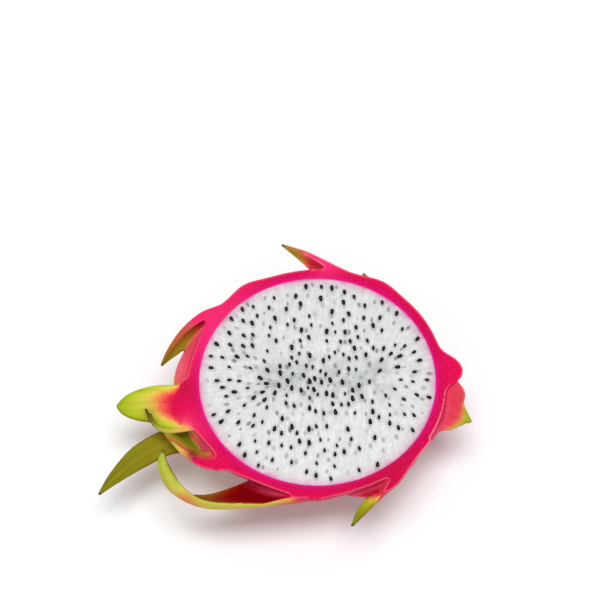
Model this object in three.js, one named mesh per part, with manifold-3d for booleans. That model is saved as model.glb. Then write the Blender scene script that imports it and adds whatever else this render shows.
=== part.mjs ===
// Half a dragon fruit (pitaya), cut lengthwise and lying on its back with the cut face up.
// Two pieces: the peel, with the leafy scales grown out of it, and the flesh that it holds, with its seeds.
// Millimetres. +X runs along the fruit's axis to the stem end, -X to the flower end, and +Z is up, square to
// the cut face.
// The origin is the middle of the small flat spot that the half rests on.

import * as THREE from "three";
import { mergeVertices } from "three/addons/utils/BufferGeometryUtils.js";
import Module from "manifold-3d";

const wasm = await Module();
wasm.setup();

// ---- Driving dimensions ----

const FLESH_LENGTH = 98.6; // along the axis, in the cut face
const FLESH_WIDTH = 88; // across the axis
const PEEL_THICKNESS = 4.1; // between the scales
const FIT_GAP = 0.3; // between the flesh and the peel
const CUT_HEIGHT = 47; // of the cut face above the surface, which flattens the peel's lowest millimetre

const SEED_COUNT = 215;
const SEED_LENGTH = 2.6;
const SEED_WIDTH = 1.65;
const SEED_SIZES = [0.65, 1.12]; // the smallest and largest, as a share of the length and width
const SEED_PROUD = 0.45; // above the cut face
const SEED_SUNK = 0.9;
const SEED_SPACING = [2.2, 4]; // the least distance to the next one, in the middle and at the peel
const SEED_THINNING = 0.4; // the share of seeds that stay at the peel, where they are fewest
const SEED_BORDER = 2.2; // clear flesh inside the peel
const SEED_SWAY = 0.25; // radians to either side of pointing straight away from the core
const SEED_DRAW = 20417;
const CORE = { from: [-17, -1], to: [24, 3] }; // the line in the cut face that the seeds point away from

const SCALE_TIP_THICKNESS = 1.2;
const SCALE_MARGIN_THICKNESS = 0.9;
const SCALE_THINNING = 1.3; // how soon a scale loses the thickness of its root: 1 is evenly

// Number of facets. Only these change the smoothness of the solids.
const SKIN_FACETS = [56, 38];
const FLESH_FACETS = [40, 26];
const SCALE_STEPS = 10;
const SCALE_STRIPS = 4;

const FLESH = new THREE.Vector3(FLESH_LENGTH / 2, FLESH_WIDTH / 2, FLESH_WIDTH / 2);
const SKIN = FLESH.clone().addScalar(PEEL_THICKNESS);
const HOLLOW = FLESH.clone().addScalar(FIT_GAP);

// Everything below is placed from the middle of the cut face, where z is 0 and the fruit is below it.

// Where the skin swells: under the roots of scales, at the stem's knob and round the flower's scar.
// at: the middle of the swelling. rise: its height. reach: its radius.
const SWELLINGS = [
  { at: [53.3, 8.1, 0], rise: 4.8, reach: 4.1 },
  { at: [54.4, 3.7, 0], rise: 6.1, reach: 3.6 },
  { at: [55.5, 0.4, 0], rise: 5.6, reach: 2.7 },
  { at: [50, -14, -16], rise: 2.2, reach: 12 },
  { at: [38, -37, -3], rise: 2.6, reach: 7 },
  { at: [27.5, 42, -2], rise: 1.7, reach: 8 },
  { at: [9, 47, -4], rise: 0.9, reach: 9 },
  { at: [-2, -48, -6], rise: 2.2, reach: 10 },
  { at: [-30, 39, -4], rise: 2.5, reach: 8 },
  { at: [-36, -35, -2], rise: 2.2, reach: 8 },
  { at: [-43, 28, 0], rise: 1.8, reach: 7 },
  { at: [-52, -11, -4], rise: 4.2, reach: 11 },
  { at: [-46, -23.5, -9.5], rise: 5, reach: 5.6 },
  { at: [-47, -16, -14], rise: 2.5, reach: 11 },
];

// The scales that the knife met and the long ones round the flower end.
// line: the middle line from inside the peel to the tip, as [x, y, z, half the width there].
// thick: at the root. cup: how far the margins turn inwards, in radians.
// faces: where the outer face looks, at even steps from root to tip.
const CUT_SCALES = {
  top: {
    line: [
      [17, 43.5, -5, 11], [9, 48, -5, 10.5], [2.5, 52, -5, 9], [-5, 56.3, -5, 6],
      [-15.2, 60.3, -5, 0.5],
    ],
    thick: 5,
    cup: 0.9,
    faces: [[0.2, 0.97, -0.1], [0.4, 0.9, -0.1]],
  },
  top_right: {
    line: [[37, 31.5, -10, 10], [31, 37.5, -10, 9.5], [25, 43, -10, 6.5], [19.5, 49.2, -10, 0.5]],
    thick: 4.5,
    cup: 0.8,
    faces: [[0.5, 0.84, -0.2], [0.6, 0.76, -0.2]],
  },
  upper_left_flat: {
    line: [
      [-15, 44, -9, 11], [-24, 42, -8.5, 11], [-33, 38, -8.5, 9], [-40, 32, -10.5, 6],
      [-45, 26, -13.5, 0.5],
    ],
    thick: 4.5,
    cup: 0.7,
    faces: [[-0.2, 0.95, -0.2], [-0.75, 0.6, -0.3]],
  },
  upper_left: {
    line: [
      [-33, 33, 1, 13], [-41, 30.4, 1, 13], [-48.7, 27.6, 0.5, 12.5], [-56.3, 21.2, 0, 10],
      [-62, 13.2, -0.5, 6], [-65.2, 6.5, -1, 0.5],
    ],
    thick: 6,
    cup: 1.15,
    faces: [[-0.35, 0.94, 0], [-0.7, 0.7, 0], [-0.97, 0.2, 0]],
  },
  left_sliver: {
    line: [
      [-43, 25, -4, 8], [-50, 16.6, -3.7, 7.6], [-54.6, 9, -4.2, 6.8], [-57.2, 2.4, -5.2, 5.8],
      [-59, -5, -7.5, 3],
    ],
    thick: 4,
    cup: 0.4,
    faces: [[-0.6, 0.4, 0.69], [-0.7, 0.1, 0.7]],
  },
  left_broad: {
    line: [
      [-40, -8, -4, 14], [-49.5, -9, -3, 12.4], [-57, -10.7, -3.2, 10], [-66, -9.4, -4.4, 8.6],
      [-75, -9.4, -6, 6.8], [-81, -9.4, -7, 4], [-84.2, -9.2, -7.4, 0.5],
    ],
    thick: 9.4,
    cup: 0.5,
    faces: [[0, 0, -1], [0.12, 0, -1]],
  },
  left_curl: {
    line: [
      [-42, -14, -4, 6], [-50, -17.4, -3.6, 5.5], [-58, -19.6, -3.2, 4.6], [-64.2, -20, -2.6, 3.6],
      [-68.5, -17.2, -1.8, 2], [-71.6, -11.4, -1, 0.5],
    ],
    thick: 3.6,
    cup: 0.5,
    faces: [[0, -0.75, -0.65], [-0.3, -0.8, -0.5], [-0.9, -0.4, -0.2]],
  },
  lower_left_leaf: {
    line: [
      [-41, -12, -9, 8], [-52.9, -21.1, -12, 7], [-64, -24.3, -14.4, 6.4],
      [-75, -30.2, -15.6, 5.8], [-85, -38.4, -16, 3.2], [-91.7, -45.4, -16, 0.5],
    ],
    thick: 5,
    cup: 0.5,
    faces: [[0.1, -0.3, -0.95], [0.25, -0.2, -0.95]],
  },
  lower_left_cut: {
    line: [
      [-32, -33.6, -2, 8], [-41, -34.2, -2, 6.4], [-48, -33.2, -2, 4.3], [-54, -29.2, -2, 3.5],
      [-59.5, -24.6, -2, 2.6], [-64, -21.6, -2.2, 0.5],
    ],
    thick: 5.6,
    cup: 0.5,
    faces: [[-0.1, -0.8, -0.6], [-0.2, -0.5, -0.85], [-0.3, -0.4, -0.87]],
  },
  bottom_strap: {
    line: [
      [5, -42.7, -12, 12], [-8, -45.5, -11, 12], [-20, -46.6, -9.5, 10.5], [-33, -49.2, -8.5, 8.2],
      [-44.2, -50.6, -7.2, 6.9], [-52.9, -49, -6, 6.1], [-59.5, -44.8, -4.8, 5],
      [-63.1, -39.4, -3.6, 4.4], [-64.7, -34.2, -2.4, 3.5], [-63.8, -28.8, -1.4, 0.5],
    ],
    thick: 7,
    cup: 0.8,
    faces: [
      [0, -0.9, -0.45], [0, -0.65, -0.76], [-0.1, -0.95, -0.3], [-0.7, -0.35, 0.62],
      [-0.75, 0, 0.66],
    ],
  },
  bottom_right: {
    line: [
      [43.3, -22.1, -3, 11], [36, -31.9, -3, 9.5], [31.2, -39.6, -4.3, 9], [26, -44.7, -7.2, 6.5],
      [22.3, -49.7, -8.5, 3.8], [18.2, -54.3, -9, 2.8], [14, -59.6, -9, 0.5],
    ],
    thick: 8.2,
    cup: 0.7,
    faces: [[0.5, -0.7, -0.5], [0.55, -0.5, -0.67], [0.6, -0.5, -0.62]],
  },
  stem_side: {
    line: [
      [45, -6.1, -8, 14], [51.1, -9.2, -7, 14], [55.4, -11.5, -6.4, 11.9],
      [58.1, -13.3, -6.2, 7.5], [60.9, -14.5, -6.3, 3.8], [62.9, -15.3, -6.6, 1.7],
      [64.5, -16.2, -7, 0.5],
    ],
    thick: 5,
    cup: 0.5,
    faces: [[0.35, 0, -0.93], [0.35, 0.1, -0.93]],
  },
  stem_fold: {
    line: [
      [49.5, -1, -2.4, 2], [51.8, -8, -2.6, 3], [50.8, -15, -2.8, 3.6], [47.6, -22, -3.2, 3],
      [45, -26.5, -4, 1],
    ],
    thick: 3.4,
    cup: 0.3,
    faces: [[0.7, 0.1, 0.7], [0.72, -0.25, 0.65], [0.65, -0.45, 0.62]],
  },
  bottom_web: {
    line: [[30, -38.3, -6.5, 5], [21.2, -45, -7, 3.4], [12.5, -47, -7, 0.5]],
    thick: 3,
    cup: 0.4,
    faces: [[0.1, -0.5, -0.86], [0.1, -0.5, -0.86]],
  },
};

// The scales on the back.
// x: where the free part begins. turn: degrees round the axis, 0 at +Y and 90 straight down.
// length: of the free part. lift: how far the tip stands off the skin. width: half of it, at the root.
const BACK_SCALES = {
  stem_upper: { x: 38, turn: 36, length: 20, lift: 8, width: 15 },
  stem_back: { x: 41, turn: 88, length: 17, lift: 6, width: 14 },
  stem_lower: { x: 36, turn: 130, length: 20, lift: 8, width: 15 },
  middle_upper: { x: 14, turn: 58, length: 24, lift: 7, width: 17 },
  middle_lower: { x: 10, turn: 124, length: 24, lift: 7, width: 17 },
  flower_upper: { x: -17, turn: 36, length: 25, lift: 9, width: 16 },
  flower_back: { x: -22, turn: 82, length: 25, lift: 7, width: 16 },
  flower_lower: { x: -24, turn: 130, length: 26, lift: 9, width: 14 },
};
// What they share. sunk: how deep the root lies in the peel. tail: its length there.
const BACK_SCALE = { thick: 5.4, cup: 0.42, sunk: 2.6, tail: 12, swelling: { rise: 2.8, reach: 15 } };

// ---- Solids from geometry and back ----

function solidOf(geometry) {
  const bare = new THREE.BufferGeometry();
  bare.setAttribute("position", geometry.getAttribute("position"));
  bare.setIndex(geometry.getIndex());
  const merged = mergeVertices(bare, 1e-4);
  return new wasm.Manifold(
    new wasm.Mesh({
      numProp: 3,
      vertProperties: new Float32Array(merged.attributes.position.array),
      triVerts: new Uint32Array(merged.index.array),
    }),
  );
}

function geometryOf(solid) {
  const mesh = solid.getMesh();
  const geometry = new THREE.BufferGeometry();
  geometry.setAttribute("position", new THREE.BufferAttribute(mesh.vertProperties, 3));
  geometry.setIndex(new THREE.BufferAttribute(mesh.triVerts, 1));
  const faceted = geometry.toNonIndexed();
  faceted.computeVertexNormals();
  return faceted;
}

function joinAll(solids) {
  return solids.reduce((whole, solid) => whole.add(solid));
}

// A block that fills all space on one side of a level plane.
function slab(fromZ, toZ) {
  const block = new THREE.BoxGeometry(400, 400, toZ - fromZ);
  block.translate(0, 0, (fromZ + toZ) / 2);
  return solidOf(block);
}

// A ball stretched to three half axes, with its poles on the fruit's axis.
function ellipsoid(halfAxes, [round, along]) {
  const ball = new THREE.SphereGeometry(1, round, along);
  ball.rotateZ(-Math.PI / 2);
  ball.scale(halfAxes.x, halfAxes.y, halfAxes.z);
  return ball;
}

// ---- The skin ----

function outwardAt(point) {
  return new THREE.Vector3(
    point.x / SKIN.x ** 2,
    point.y / SKIN.y ** 2,
    point.z / SKIN.z ** 2,
  ).normalize();
}

// A point on the plain egg shape, at a place along the axis and a turn round it.
function onSkin(x, turn) {
  const inside = THREE.MathUtils.clamp(x / SKIN.x, -0.995, 0.995);
  const radius = SKIN.y * Math.sqrt(1 - inside ** 2);
  const angle = THREE.MathUtils.degToRad(turn);
  return new THREE.Vector3(inside * SKIN.x, radius * Math.cos(angle), -radius * Math.sin(angle));
}

const ALL_SWELLINGS = [
  ...SWELLINGS.map(({ at, rise, reach }) => ({ at: new THREE.Vector3(...at), rise, reach })),
  ...Object.values(BACK_SCALES).map(({ x, turn }) => ({ at: onSkin(x, turn), ...BACK_SCALE.swelling })),
];

function swellAt(point) {
  let rise = 0;
  for (const swelling of ALL_SWELLINGS) {
    rise += swelling.rise * Math.exp(-((point.distanceTo(swelling.at) / swelling.reach) ** 2));
  }
  return rise;
}

function skinGeometry() {
  const skin = ellipsoid(SKIN, SKIN_FACETS);
  const position = skin.getAttribute("position");
  const point = new THREE.Vector3();
  for (let i = 0; i < position.count; i++) {
    point.fromBufferAttribute(position, i);
    point.addScaledVector(outwardAt(point), swellAt(point));
    position.setXYZ(i, point.x, point.y, point.z);
  }
  return skin;
}

// ---- The scales ----

// The vector at share u of a list of vectors that are evenly spaced from 0 to 1.
function blend(vectors, u) {
  const place = u * (vectors.length - 1);
  const before = Math.min(Math.floor(place), vectors.length - 2);
  const from = new THREE.Vector3(...vectors[before]);
  return from.lerp(new THREE.Vector3(...vectors[before + 1]), place - before);
}

function curveThrough(points) {
  return new THREE.CatmullRomCurve3(points, false, "catmullrom");
}

// A closed blade along a curve: a ring of points round each cross-section, and a cap at each end.
function scaleGeometry({ line, thick, cup, faces }) {
  const middleLine = curveThrough(line.map(([x, y, z]) => new THREE.Vector3(x, y, z)));
  const widthLine = curveThrough(line.map(([, , , half]) => new THREE.Vector3(half, 0, 0)));
  const vertices = [];
  const triangles = [];
  const ring = 2 * (SCALE_STRIPS + 1);
  for (let i = 0; i <= SCALE_STEPS; i++) {
    const u = i / SCALE_STEPS;
    const middle = middleLine.getPoint(u);
    const along = middleLine.getTangent(u);
    const half = widthLine.getPoint(u).x;
    const outward = blend(faces, u);
    outward.addScaledVector(along, -outward.dot(along)).normalize();
    const side = new THREE.Vector3().crossVectors(along, outward);
    const thickness = SCALE_TIP_THICKNESS + (thick - SCALE_TIP_THICKNESS) * (1 - u) ** SCALE_THINNING;
    for (let j = 0; j < ring; j++) {
      const outer = j <= SCALE_STRIPS;
      const v = outer ? (2 * j) / SCALE_STRIPS - 1 : 1 - (2 * (j - SCALE_STRIPS - 1)) / SCALE_STRIPS;
      const through = SCALE_MARGIN_THICKNESS + (thickness - SCALE_MARGIN_THICKNESS) * (1 - v * v);
      const drop = (half * (1 - Math.cos(cup * v))) / cup;
      const point = middle.clone();
      point.addScaledVector(side, (half * Math.sin(cup * v)) / cup);
      point.addScaledVector(outward, (outer ? through : -through) / 2 - drop);
      vertices.push(point.x, point.y, point.z);
    }
  }
  for (let i = 0; i < SCALE_STEPS; i++) {
    for (let j = 0; j < ring; j++) {
      const a = i * ring + j;
      const b = i * ring + ((j + 1) % ring);
      triangles.push(a, b, a + ring, b, b + ring, a + ring);
    }
  }
  const last = SCALE_STEPS * ring;
  for (let j = 1; j < ring - 1; j++) {
    triangles.push(0, j + 1, j);
    triangles.push(last, last + j, last + j + 1);
  }
  const geometry = new THREE.BufferGeometry();
  geometry.setAttribute("position", new THREE.Float32BufferAttribute(vertices, 3));
  geometry.setIndex(triangles);
  return geometry;
}

// The line of a scale on the back: it runs in the peel, then leaves it towards the flower end.
function backScale({ x, turn, length, lift, width }) {
  const { sunk, tail, thick, cup } = BACK_SCALE;
  const stations = [
    { from: x + tail, height: -sunk, share: 0.9 },
    { from: x + tail / 3, height: -sunk / 3, share: 1 },
    { from: x - length / 4, height: lift / 7, share: 0.82 },
    { from: x - (length * 5) / 8, height: lift / 2, share: 0.5 },
    { from: x - length, height: lift, share: 0.04 },
  ];
  const line = stations.map(({ from, height, share }) => {
    const skin = onSkin(from, turn);
    skin.addScaledVector(outwardAt(skin), height + swellAt(skin));
    return [...skin.toArray(), share * width];
  });
  const faces = [x + tail, x - length].map((place) => outwardAt(onSkin(place, turn)).toArray());
  return { line, faces, thick, cup };
}

function scales() {
  return [...Object.values(CUT_SCALES), ...Object.values(BACK_SCALES).map(backScale)];
}

// ---- The seeds in the cut face ----

// A seeded random number from 0 to 1, the same on every run.
function drawer(seed) {
  let state = seed;
  return () => {
    state = (Math.imul(state, 1664525) + 1013904223) >>> 0;
    return state / 4294967296;
  };
}

// The seeds that the knife met: spread by chance but not touching, closer together in the middle, and each
// pointing away from the nearest point of the core.
function seedPlaces() {
  const draw = drawer(SEED_DRAW);
  const core = new THREE.Line3(new THREE.Vector3(...CORE.from, 0), new THREE.Vector3(...CORE.to, 0));
  const nearest = new THREE.Vector3();
  const places = [];
  while (places.length < SEED_COUNT) {
    const at = new THREE.Vector3((2 * draw() - 1) * FLESH.x, (2 * draw() - 1) * FLESH.y, 0);
    const size = THREE.MathUtils.lerp(...SEED_SIZES, draw());
    const sway = SEED_SWAY * (2 * draw() - 1);
    const out = Math.hypot(at.x / (FLESH.x - SEED_BORDER), at.y / (FLESH.y - SEED_BORDER));
    const clear = THREE.MathUtils.lerp(...SEED_SPACING, out);
    if (draw() > THREE.MathUtils.lerp(1, SEED_THINNING, out)) continue;
    if (out > 1 || places.some((other) => other.at.distanceTo(at) < clear)) continue;
    core.closestPointToPoint(at, true, nearest);
    places.push({ at, size, angle: Math.atan2(at.y - nearest.y, at.x - nearest.x) + sway });
  }
  return places;
}

// A seed as a long double pyramid with six sides, half sunk in the flesh.
function seedGeometry({ at, size, angle }) {
  const seed = new THREE.SphereGeometry(1, 6, 2);
  seed.rotateX(Math.PI / 2);
  seed.scale((SEED_LENGTH / 2) * size, (SEED_WIDTH / 2) * size, (SEED_PROUD + SEED_SUNK) / 2);
  seed.rotateZ(angle);
  seed.translate(at.x, at.y, (SEED_PROUD - SEED_SUNK) / 2);
  return seed;
}

// ---- The two pieces ----

const ABOVE_CUT = slab(0, 200);
const BELOW_SURFACE = slab(-200, -CUT_HEIGHT);

function makePeel() {
  const blades = scales().map((scale) => solidOf(scaleGeometry(scale)));
  const grown = joinAll([solidOf(skinGeometry()), ...blades]);
  const hollow = solidOf(ellipsoid(HOLLOW, FLESH_FACETS));
  return grown.subtract(hollow).subtract(ABOVE_CUT).subtract(BELOW_SURFACE);
}

function makeFlesh() {
  const half = solidOf(ellipsoid(FLESH, FLESH_FACETS)).subtract(ABOVE_CUT);
  return joinAll([half, ...seedPlaces().map((place) => solidOf(seedGeometry(place)))]);
}

function piece(name, solid, colour, roughness) {
  const material = new THREE.MeshStandardMaterial({ color: colour, roughness, metalness: 0 });
  const mesh = new THREE.Mesh(geometryOf(solid), material);
  mesh.name = name;
  return mesh;
}

const fruit = new THREE.Group();
fruit.position.z = CUT_HEIGHT;
fruit.add(piece("peel", makePeel(), 0xdb1f5b, 0.42));
fruit.add(piece("flesh", makeFlesh(), 0xe9ecea, 0.35));

const part = new THREE.Group();
part.add(fruit);

export default part;
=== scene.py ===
# %% [markdown]
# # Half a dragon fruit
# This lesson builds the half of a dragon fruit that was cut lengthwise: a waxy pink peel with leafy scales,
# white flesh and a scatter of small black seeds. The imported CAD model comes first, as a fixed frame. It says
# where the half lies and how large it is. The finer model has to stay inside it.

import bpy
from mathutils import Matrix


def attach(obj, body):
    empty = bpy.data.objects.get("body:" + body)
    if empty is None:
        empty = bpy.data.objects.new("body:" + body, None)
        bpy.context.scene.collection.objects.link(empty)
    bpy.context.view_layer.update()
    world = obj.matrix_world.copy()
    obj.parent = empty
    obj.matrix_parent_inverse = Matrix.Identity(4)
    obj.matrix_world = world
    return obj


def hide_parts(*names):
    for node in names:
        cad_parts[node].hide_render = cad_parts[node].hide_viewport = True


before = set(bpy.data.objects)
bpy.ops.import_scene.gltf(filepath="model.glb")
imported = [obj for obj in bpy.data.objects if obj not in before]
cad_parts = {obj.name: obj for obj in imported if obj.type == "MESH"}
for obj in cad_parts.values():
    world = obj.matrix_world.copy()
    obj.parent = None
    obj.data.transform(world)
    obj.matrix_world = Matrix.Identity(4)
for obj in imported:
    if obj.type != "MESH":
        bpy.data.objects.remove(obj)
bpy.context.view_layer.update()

# %% Modules
import math

import bpy
import numpy as np
from mathutils import Vector
from mathutils.kdtree import KDTree

MM = 0.001

# %% [markdown]
# ## Sizes
# A dragon fruit is close to an egg. Its flesh is a little longer than it is wide, and the peel is as thick as
# a slice of bread crust all round. The half lies on its back, so the cut face is level and 47 mm up. All
# places are measured in millimetres from the middle of the cut face, with the fruit below it, and they are
# turned to metres at the very end of each calculation.

# %% The main sizes, in millimetres
FLESH = np.array([49.3, 44.0, 44.0])  # half the length, width and depth
PEEL_THICKNESS = 4.1
SKIN = FLESH + PEEL_THICKNESS
CUT_HEIGHT = 47.0
print("The flesh is", 2 * FLESH[0], "mm long and", 2 * FLESH[1], "mm wide")


def placed(points):
    """Points in millimetres from the middle of the cut face, as metres in the frame."""
    return (np.asarray(points) + (0, 0, CUT_HEIGHT)) * MM


# %% [markdown]
# ## Swellings
# The skin isn't a plain egg. It swells under the root of every scale and at the stump of the stem, and that
# is what makes the outline of the cut uneven. Each swelling is a soft bump with a middle, a height and a
# reach.

# %% Swellings under the scales and at the stem
SWELLINGS = [
    ((53.3, 8.1, 0), 4.8, 4.1),
    ((54.4, 3.7, 0), 6.1, 3.6),
    ((55.5, 0.4, 0), 5.6, 2.7),
    ((50, -14, -16), 2.2, 12),
    ((38, -37, -3), 2.6, 7),
    ((27.5, 42, -2), 1.7, 8),
    ((9, 47, -4), 0.9, 9),
    ((-2, -48, -6), 2.2, 10),
    ((-30, 39, -4), 2.5, 8),
    ((-36, -35, -2), 2.2, 8),
    ((-43, 28, 0), 1.8, 7),
    ((-52, -11, -4), 4.2, 11),
    ((-46, -23.5, -9.5), 5, 5.6),
    ((-47, -16, -14), 2.5, 11),
]

# Back scales: where the free part begins along the axis, the turn round the axis (0 at +Y, 90 straight down),
# the length of the free part, how far the tip stands off the skin, and half the width at the root.
BACK_SCALES = {
    "stem_upper": (38, 36, 20, 8, 15),
    "stem_back": (41, 88, 17, 6, 14),
    "stem_lower": (36, 130, 20, 8, 15),
    "middle_upper": (14, 58, 24, 7, 17),
    "middle_lower": (10, 124, 24, 7, 17),
    "flower_upper": (-17, 36, 25, 9, 16),
    "flower_back": (-22, 82, 25, 7, 16),
    "flower_lower": (-24, 130, 26, 9, 14),
}
BACK_SWELLING = (2.8, 15)
NEAR_POLE = 0.995


def on_skin(x, turn):
    """The point of the plain egg at a place along the axis and a turn round it."""
    inside = np.clip(x / SKIN[0], -NEAR_POLE, NEAR_POLE)
    radius = SKIN[1] * math.sqrt(1 - inside**2)
    angle = math.radians(turn)
    return np.array([inside * SKIN[0], radius * math.cos(angle), -radius * math.sin(angle)])


def outward(points):
    """The direction out of the egg at each point."""
    slopes = points / SKIN**2
    return slopes / np.linalg.norm(slopes, axis=-1, keepdims=True)


def swell(points):
    """How far the skin rises above the plain egg at each point."""
    bumps = SWELLINGS + [(on_skin(x, turn), *BACK_SWELLING) for x, turn, *_ in BACK_SCALES.values()]
    rise = np.zeros(points.shape[:-1])
    for middle, height, reach in bumps:
        rise += height * np.exp(-((np.linalg.norm(points - np.array(middle), axis=-1) / reach) ** 2))
    return rise


print(len(SWELLINGS) + len(BACK_SCALES), "swellings")

# %% [markdown]
# ## Small helpers
# The same few steps come back for every piece. Operators act on whatever is selected, so each step starts
# from a clean selection. Vertices are read and written all at once as arrays, which is far quicker than one
# by one.

# %% Selecting, reading and writing
def only(piece):
    """Selects this piece alone and makes it active."""
    bpy.ops.object.select_all(action="DESELECT")
    piece.select_set(True)
    bpy.context.view_layer.objects.active = piece
    return piece


def added(name):
    """Names the piece that an operator has just added."""
    piece = bpy.context.active_object
    piece.name = piece.data.name = name
    return piece


def ball(name, segments, rings):
    """A ball of radius 1 whose poles lie on the fruit's axis."""
    bpy.ops.object.select_all(action="DESELECT")
    quarter_turn = (0, math.pi / 2, 0)
    bpy.ops.mesh.primitive_uv_sphere_add(segments=segments, ring_count=rings, radius=1, rotation=quarter_turn)
    piece = added(name)
    bpy.ops.object.transform_apply(rotation=True)
    return piece


def edit(piece):
    """Opens this piece in edit mode with all of it selected."""
    only(piece)
    bpy.ops.object.mode_set(mode="EDIT")
    bpy.ops.mesh.select_all(action="SELECT")


def vertices_of(piece):
    flat = np.empty(len(piece.data.vertices) * 3)
    piece.data.vertices.foreach_get("co", flat)
    return flat.reshape(-1, 3)


def set_vertices(piece, points):
    piece.data.vertices.foreach_set("co", np.asarray(points, dtype=np.float32).ravel())
    piece.data.update()


# %% [markdown]
# ## The egg of the peel
# A ball is the right start, because the fruit is a ball stretched along its axis. Its poles are turned onto
# the axis, where the stem and the flower were. The part above the cut is sliced away early, a little above
# the cut itself, so that nothing is wasted on what the knife takes off.

# %% The egg, with its swellings
EGG_SEGMENTS, EGG_RINGS = 160, 100
SPARE_ABOVE_CUT = 3.0

peel = ball("peel", EGG_SEGMENTS, EGG_RINGS)
egg = vertices_of(peel) * SKIN
egg += outward(egg) * swell(egg)[:, None]
set_vertices(peel, placed(egg))

edit(peel)
bpy.ops.mesh.bisect(
    plane_co=placed((0, 0, SPARE_ABOVE_CUT)),
    plane_no=(0, 0, 1),
    clear_outer=True,
    use_fill=True,
)
bpy.ops.object.mode_set(mode="OBJECT")
print("The egg has", len(peel.data.vertices), "vertices")

# %% [markdown]
# ## Where the scales grow
# A scale is a small thick leaf. It starts inside the peel, follows the skin for a while and then leaves it
# towards the flower end. Each one is told by its middle line, from root to tip, with half its width at every
# point. A scale also has a side that looks outwards, which may turn on the way, and margins that curl
# inwards. The first fourteen lie round the cut. The knife went through some of them.

# %% The scales at the top of the cut
# line: (x, y, z, half width). thick: at the root. cup: how far the margins turn in, in radians. faces: where
# the outer side looks, at even steps. green: the shares of the line where the pink ends and where the green
# is full. outside: the same for the outer side and the cut, if they differ. margins: how much greener both
# margins are. lean: how much greener one margin is than the other. brown: the shares where each margin starts
# to be dry, and above 1 it stays fresh. painted shade: how much darker the leaf is painted where it lies in
# shade, inside at its root and its tip, and where it is cut at its root and its tip. warm: how salmon the red
# part is.
CUT_SCALES = {
    "top": dict(
        line=[
            (17, 43.5, -5, 11), (9, 48, -5, 10.5), (2.5, 52, -5, 9), (-5, 56.3, -5, 6), (-15.2, 60.3, -5, 0.5),
        ],
        thick=5, cup=0.9, faces=[(0.2, 0.97, -0.1), (0.4, 0.9, -0.1)],
        green=(0.74, 1.3), outside=(0.75, 1.5), warm=0.9,
    ),
    "top_right": dict(
        line=[(37, 31.5, -10, 10), (31, 37.5, -10, 9.5), (25, 43, -10, 6.5), (19.5, 49.2, -10, 0.5)],
        thick=4.5, cup=0.8, faces=[(0.5, 0.84, -0.2), (0.6, 0.76, -0.2)], green=(0.35, 1.0),
    ),
    "upper_left_flat": dict(
        line=[
            (-15, 44, -9, 11), (-24, 42, -8.5, 11), (-33, 38, -8.5, 9), (-40, 32, -10.5, 6),
            (-45, 26, -13.5, 0.5),
        ],
        thick=4.5, cup=0.7, faces=[(-0.2, 0.95, -0.2), (-0.75, 0.6, -0.3)], green=(0.5, 1.3),
    ),
    "upper_left": dict(
        line=[
            (-33, 33, 1, 13), (-41, 30.4, 1, 13), (-48.7, 27.6, 0.5, 12.5),
            (-56.3, 21.2, 0, 10), (-62, 13.2, -0.5, 6), (-65.2, 6.5, -1, 0.5),
        ],
        thick=6, cup=1.15, faces=[(-0.35, 0.94, 0), (-0.7, 0.7, 0), (-0.97, 0.2, 0)],
        green=(0.5, 1.4), outside=(0.44, 1.4), brown=(0.3, 0.3), deep=(1, 0.6, 0, 1),
    ),
}
print(len(CUT_SCALES), "scales at the top")

# %% The scales at the flower end
CUT_SCALES |= {
    "left_sliver": dict(
        line=[
            (-43, 25, -4, 8), (-50, 16.6, -3.7, 7.6), (-54.6, 9, -4.2, 6.8), (-57.2, 2.4, -5.2, 5.8),
            (-59, -5, -7.5, 3),
        ],
        thick=4, cup=0.4, faces=[(-0.6, 0.4, 0.69), (-0.7, 0.1, 0.7)],
        green=(0.45, 1.7), brown=(1.1, 1.1), warm=0.8,
    ),
    "left_broad": dict(
        line=[
            (-40, -8, -4, 14), (-49.5, -9, -3, 12.4), (-57, -10.7, -3.2, 10), (-66, -9.4, -4.4, 8.6),
            (-75, -9.4, -6, 6.8), (-81, -9.4, -7, 4), (-84.2, -9.2, -7.4, 0.5),
        ],
        thick=9.4, cup=0.5, faces=[(0, 0, -1), (0.12, 0, -1)],
        green=(0.46, 1.02), lean=0.1, margins=0.55, brown=(1.1, 0.45),
    ),
    "left_curl": dict(
        line=[
            (-42, -14, -4, 6), (-50, -17.4, -3.6, 5.5), (-58, -19.6, -3.2, 4.6),
            (-64.2, -20, -2.6, 3.6), (-68.5, -17.2, -1.8, 2), (-71.6, -11.4, -1, 0.5),
        ],
        thick=3.6, cup=0.5, faces=[(0, -0.75, -0.65), (-0.3, -0.8, -0.5), (-0.9, -0.4, -0.2)],
        green=(0.1, 0.7), brown=(0.45, 0.45),
    ),
    "lower_left_leaf": dict(
        line=[
            (-41, -12, -9, 8), (-52.9, -21.1, -12, 7), (-64, -24.3, -14.4, 6.4),
            (-75, -30.2, -15.6, 5.8), (-85, -38.4, -16, 3.2), (-91.7, -45.4, -16, 0.5),
        ],
        thick=5, cup=0.5, faces=[(0.1, -0.3, -0.95), (0.25, -0.2, -0.95)],
        green=(-0.42, 2.3), margins=0.1, brown=(0.2, 0.2), deep=(0.85, 0.8, 0, 0),
    ),
    "lower_left_cut": dict(
        line=[
            (-32, -33.6, -2, 8), (-41, -34.2, -2, 6.4), (-48, -33.2, -2, 4.3), (-54, -29.2, -2, 3.5),
            (-59.5, -24.6, -2, 2.6), (-64, -21.6, -2.2, 0.5),
        ],
        thick=5.6, cup=0.5, faces=[(-0.1, -0.8, -0.6), (-0.2, -0.5, -0.85), (-0.3, -0.4, -0.87)],
        green=(0.25, 3.2), outside=(0.46, 0.72), lean=-0.25, brown=(1.1, 0.7), deep=(0.9, 0.8, 0, 0), warm=0.7,
    ),
}
print(len(CUT_SCALES), "scales with those at the flower end")

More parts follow.
